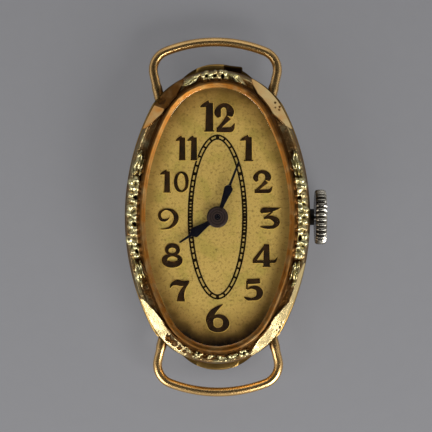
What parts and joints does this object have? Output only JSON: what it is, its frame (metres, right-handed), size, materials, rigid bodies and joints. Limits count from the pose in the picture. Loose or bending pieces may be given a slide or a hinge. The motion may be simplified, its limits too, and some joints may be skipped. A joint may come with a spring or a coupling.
{
  "type": "wristwatch",
  "caption": "Small oval mechanical wristwatch with wire strap loops, floral bezel, side crown and its hand-wound lever movement inside.",
  "frame": {"origin": "on the hands' axis, at the flat outer face of the case back", "axes": "+Z out through the dial and glass, +Y towards 12 o'clock, +X towards 3 o'clock and the crown"},
  "size_m": [0.0186, 0.0332, 0.0066],
  "materials": {
    "rose_gold": "worn gold plate, polished",
    "yellow_gold": "worn gold plate, polished and dulled in the hollows",
    "green_gold": "chased green gold relief",
    "glass": "clear, domed",
    "nickel": "worn nickel plate with dark flutes",
    "dark_steel": "oxidised dark",
    "plate_nickel": "nickel plated brass, fine stripes",
    "steel": "polished steel",
    "blued_steel": "blued steel",
    "wheel_brass": "gilt brass, circular grain",
    "ruby": "polished synthetic ruby",
    "gilt_dial": "matt gilt, patinated towards the edge",
    "figure_brown": "dark brown raised figures with pale edges",
    "black_enamel": "printed black",
    "hand_black": "blackened steel"
  },
  "bodies": {
    "case": {"case_back": "yellow_gold", "pendant_tube": "dark_steel", "top_wire_loop": "rose_gold", "bottom_wire_loop": "rose_gold", "main_plate": "plate_nickel", "barrel_bridge": "plate_nickel", "train_bridge": "plate_nickel", "pallet_cock": "plate_nickel", "balance_cock": "plate_nickel", "bridge_screws": "blued_steel", "plate_jewels": "ruby", "bridge_jewels": "ruby", "dial": "gilt_dial", "dial_figures": "figure_brown", "minute_track": "black_enamel", "yoke_spring": "steel", "setting_cover": "plate_nickel", "crown_wheel_screw": "blued_steel", "click_screw": "blued_steel", "click_spring": "blued_steel", "hairspring_stud": "steel"},
    "bezel": {"bezel": "rose_gold", "bezel_relief": "green_gold", "glass": "glass"},
    "winding_pinion": {"winding_pinion": "steel"},
    "crown": {"crown": "nickel", "winding_stem": "steel"},
    "sliding_clutch": {"sliding_clutch": "steel"},
    "setting_lever": {"setting_lever": "steel"},
    "yoke": {"yoke": "steel"},
    "crown_wheel": {"crown_wheel": "steel"},
    "ratchet": {"ratchet_wheel": "steel", "barrel_arbor": "steel", "ratchet_screw": "blued_steel"},
    "click": {"click": "steel"},
    "barrel": {"barrel_drum": "wheel_brass", "barrel_cover": "wheel_brass", "mainspring": "blued_steel"},
    "centre": {"centre_wheel": "wheel_brass", "centre_pinion": "steel", "cannon_pinion": "steel", "minute_hand": "hand_black"},
    "third": {"third_wheel": "wheel_brass", "third_pinion": "steel"},
    "fourth": {"fourth_wheel": "wheel_brass", "fourth_pinion": "steel"},
    "escape": {"escape_wheel": "steel", "escape_pinion": "steel"},
    "minute_wheel": {"minute_wheel": "wheel_brass"},
    "hour": {"hour_wheel": "wheel_brass", "hour_hand": "hand_black"},
    "pallet": {"pallet_fork": "steel", "pallet_staff": "steel"},
    "balance": {"balance_wheel": "wheel_brass", "balance_staff": "steel", "hairspring": "blued_steel"},
    "regulator": {"regulator": "steel"}
  },
  "joints": [
    {"name": "bezel_lift", "type": "slide", "parent": "case", "child": "bezel", "axis": [0, 0, 1], "range_m": [0, 0.004]},
    {"name": "crown_turn", "type": "hinge", "parent": "case", "child": "winding_pinion", "pos_m": [0, 0, 0.00278], "axis": [1, 0, 0], "continuous": true},
    {"name": "crown_pull", "type": "slide", "parent": "winding_pinion", "child": "crown", "axis": [1, 0, 0], "range_m": [0, 0.0004]},
    {"name": "clutch_shift", "type": "slide", "parent": "winding_pinion", "child": "sliding_clutch", "axis": [-1, 0, 0], "range_m": [0, 0.0004]},
    {"name": "setting_lever_swing", "type": "hinge", "parent": "case", "child": "setting_lever", "pos_m": [0.00632, 0.00185, 0.004], "axis": [0, 0, 1], "range_deg": [0, 13]},
    {"name": "yoke_swing", "type": "hinge", "parent": "case", "child": "yoke", "pos_m": [0.0053, -0.00235, 0.004], "axis": [0, 0, 1], "range_deg": [0, 10.5]},
    {"name": "crown_wheel_turn", "type": "hinge", "parent": "case", "child": "crown_wheel", "pos_m": [0.00318, 0, 0.0012], "axis": [0, 0, 1], "continuous": true},
    {"name": "ratchet_turn", "type": "hinge", "parent": "case", "child": "ratchet", "pos_m": [0.00131, 0.00474, 0.0012], "axis": [0, 0, 1], "continuous": true},
    {"name": "click_swing", "type": "hinge", "parent": "case", "child": "click", "pos_m": [-0.00113, 0.00786, 0.0012], "axis": [0, 0, 1], "range_deg": [0, 8], "stiffness_Nm_per_rad": 0.0000002},
    {"name": "centre_turn", "type": "hinge", "parent": "case", "child": "centre", "pos_m": [0, 0, 0.003], "axis": [0, 0, 1], "continuous": true},
    {"name": "barrel_turn", "type": "hinge", "parent": "case", "child": "barrel", "pos_m": [0.00131, 0.00474, 0.0025], "axis": [0, 0, 1], "continuous": true},
    {"name": "third_turn", "type": "hinge", "parent": "case", "child": "third", "pos_m": [-0.00323, -0.00099, 0.0025], "axis": [0, 0, 1], "continuous": true},
    {"name": "fourth_turn", "type": "hinge", "parent": "case", "child": "fourth", "pos_m": [-0.00197, -0.00368, 0.0025], "axis": [0, 0, 1], "continuous": true},
    {"name": "escape_turn", "type": "hinge", "parent": "case", "child": "escape", "pos_m": [0.00072, -0.00466, 0.0025], "axis": [0, 0, 1], "continuous": true},
    {"name": "minute_wheel_turn", "type": "hinge", "parent": "case", "child": "minute_wheel", "pos_m": [0.0022, 0, 0.0035], "axis": [0, 0, 1], "continuous": true},
    {"name": "hour_turn", "type": "hinge", "parent": "case", "child": "hour", "pos_m": [0, 0, 0.004], "axis": [0, 0, 1], "continuous": true},
    {"name": "pallet_rock", "type": "hinge", "parent": "case", "child": "pallet", "pos_m": [0.00034, -0.00682, 0.0025], "axis": [0, 0, 1], "range_deg": [-5, 5]},
    {"name": "balance_swing", "type": "hinge", "parent": "case", "child": "balance", "pos_m": [-0.00001, -0.00879, 0.002], "axis": [0, 0, 1], "range_deg": [-270, 270], "stiffness_Nm_per_rad": 0.00000005, "deforming": ["hairspring"]},
    {"name": "regulator_turn", "type": "hinge", "parent": "case", "child": "regulator", "pos_m": [-0.00001, -0.00879, 0.0009], "axis": [0, 0, 1], "range_deg": [-20, 20]}
  ],
  "couplings": [
    {"joint": "clutch_shift", "follows": "crown_pull", "ratio": 1},
    {"joint": "setting_lever_swing", "follows": "crown_pull", "rad_per_m": 540.54},
    {"joint": "yoke_swing", "follows": "crown_pull", "rad_per_m": 425.53},
    {"joint": "crown_wheel_turn", "follows": "crown_turn", "ratio": 0.5625},
    {"joint": "ratchet_turn", "follows": "crown_turn", "ratio": -0.5},
    {"joint": "barrel_turn", "follows": "centre_turn", "ratio": -0.13889},
    {"joint": "third_turn", "follows": "centre_turn", "ratio": -8},
    {"joint": "fourth_turn", "follows": "centre_turn", "ratio": 60},
    {"joint": "escape_turn", "follows": "centre_turn", "ratio": -600},
    {"joint": "minute_wheel_turn", "follows": "centre_turn", "ratio": -0.33333},
    {"joint": "hour_turn", "follows": "centre_turn", "ratio": 0.083333}
  ]
}
